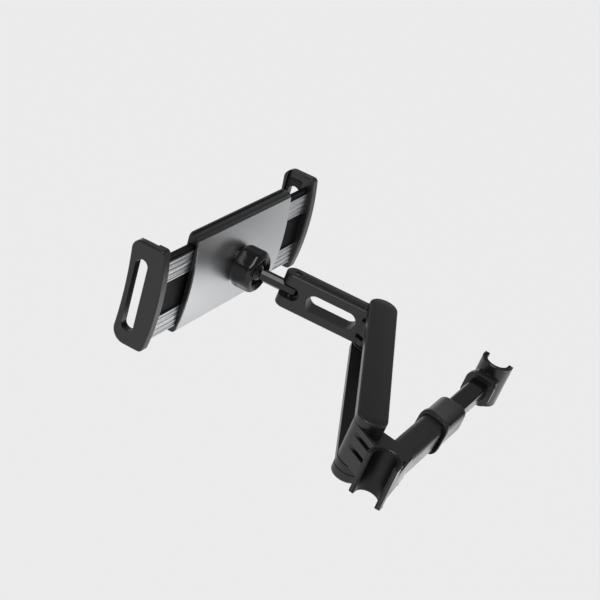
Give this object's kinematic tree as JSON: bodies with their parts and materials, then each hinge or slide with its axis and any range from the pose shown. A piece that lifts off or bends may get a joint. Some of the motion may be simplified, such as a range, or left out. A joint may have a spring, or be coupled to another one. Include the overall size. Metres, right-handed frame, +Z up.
{
  "type": "headrest tablet mount",
  "caption": "Car headrest tablet mount: a sprung bar that spreads between the headrest posts, a folding arm, a ball joint and a cradle with geared side clamps.",
  "frame": {"origin": "on the axis of the near headrest post, halfway up its saddle", "axes": "+X along the bar to the far post, +Y from the posts to the cradle, +Z up along the posts"},
  "size_m": [0.2148, 0.2047, 0.0688],
  "materials": {
    "moulded_black": "fine satin moulded black",
    "inlay_black": "smooth matte black inlay",
    "gloss_black": "polished black",
    "soft_rubber": "soft matte rubber",
    "satin_aluminium": "satin silver sheet",
    "rail_metal": "silver with fine lengthwise grooves",
    "steel": "plain steel"
  },
  "bodies": {
    "base": {"base_bracket": "moulded_black", "near_liner": "soft_rubber", "end_collar": "moulded_black", "bar_spring": "steel"},
    "bar": {"inner_tube": "gloss_black", "guide_shoe": "moulded_black", "spring_plug": "moulded_black", "far_bracket": "moulded_black", "bar_screw": "steel", "far_liner": "soft_rubber"},
    "long_arm": {"upper_plate": "moulded_black", "lower_plate": "moulded_black", "upper_strip": "inlay_black", "lower_strip": "inlay_black", "shoulder_pin": "steel", "shoulder_nut": "steel", "shoulder_spacer": "moulded_black", "shoulder_cap": "moulded_black", "elbow_pin": "steel", "elbow_nut": "steel", "elbow_spacer": "moulded_black", "elbow_cap": "moulded_black"},
    "short_arm": {"short_arm": "moulded_black", "short_top_strip": "inlay_black", "short_bottom_strip": "inlay_black", "wrist_pin": "steel"},
    "stem": {"ball_stem": "gloss_black"},
    "ball_liner": {"ball_liner": "moulded_black"},
    "seat_ring": {"seat_ring": "moulded_black"},
    "cradle": {"socket_cup": "gloss_black", "cup_screws": "steel", "back_plate": "satin_aluminium", "rear_shell": "moulded_black", "front_shell": "moulded_black", "front_pad": "soft_rubber", "shell_screws": "steel", "pinion_axle": "steel"},
    "collar_nut": {"collar_nut": "gloss_black"},
    "pinion": {"pinion": "moulded_black"},
    "left_clamp": {"left_slider": "moulded_black", "left_upper_rail": "rail_metal", "left_lower_rail": "rail_metal", "left_clamp": "moulded_black", "left_clamp_pad": "soft_rubber", "left_clamp_screws": "steel"},
    "right_clamp": {"right_slider": "moulded_black", "right_upper_rail": "rail_metal", "right_lower_rail": "rail_metal", "right_clamp": "moulded_black", "right_clamp_pad": "soft_rubber", "right_clamp_screws": "steel"}
  },
  "joints": [
    {"name": "bar_slide", "type": "slide", "parent": "base", "child": "bar", "axis": [1, 0, 0], "range_m": [-0.035, 0], "stiffness_N_per_m": 300, "springref_m": 0.04, "deforming": ["bar_spring"]},
    {"name": "shoulder_turn", "type": "hinge", "parent": "base", "child": "long_arm", "pos_m": [0.0223, 0.0217, 0.0015], "axis": [0, 0, 1], "range_deg": [-22, 150]},
    {"name": "elbow_turn", "type": "hinge", "parent": "long_arm", "child": "short_arm", "pos_m": [0.13559, 0.07333, 0.0015], "axis": [0, 0, 1], "range_deg": [-88, 40]},
    {"name": "wrist_turn", "type": "hinge", "parent": "short_arm", "child": "stem", "pos_m": [0.12277, 0.12887, 0.0015], "axis": [0, 0, -1], "range_deg": [-35, 35]},
    {"name": "ball_swing", "type": "hinge", "parent": "stem", "child": "ball_liner", "pos_m": [0.1166, 0.15557, 0.0015], "axis": [0, 0, -1], "range_deg": [-38, 12]},
    {"name": "ball_tilt", "type": "hinge", "parent": "ball_liner", "child": "seat_ring", "pos_m": [0.1166, 0.15557, 0.0015], "axis": [1, 0, 0], "range_deg": [-11.5, 24.5]},
    {"name": "ball_roll", "type": "hinge", "parent": "seat_ring", "child": "cradle", "pos_m": [0.1166, 0.15557, 0.0015], "axis": [0, -0.9936, 0.1132], "continuous": true},
    {"name": "collar_nut_turn", "type": "hinge", "parent": "cradle", "child": "collar_nut", "pos_m": [0.1166, 0.15557, 0.0015], "axis": [0, -0.9936, 0.1132], "range_deg": [-180, 180]},
    {"name": "right_clamp_slide", "type": "slide", "parent": "cradle", "child": "right_clamp", "axis": [1, 0, 0], "range_m": [-0.026, 0.006]},
    {"name": "left_clamp_slide", "type": "slide", "parent": "cradle", "child": "left_clamp", "axis": [-1, 0, 0], "range_m": [-0.026, 0.006]},
    {"name": "pinion_turn", "type": "hinge", "parent": "cradle", "child": "pinion", "pos_m": [0.1166, 0.16997, -0.00014], "axis": [0, -0.9936, 0.1132], "range_deg": [-250, 60]}
  ],
  "couplings": [
    {"joint": "left_clamp_slide", "follows": "right_clamp_slide", "ratio": 1},
    {"joint": "pinion_turn", "follows": "right_clamp_slide", "rad_per_m": 166.67}
  ]
}
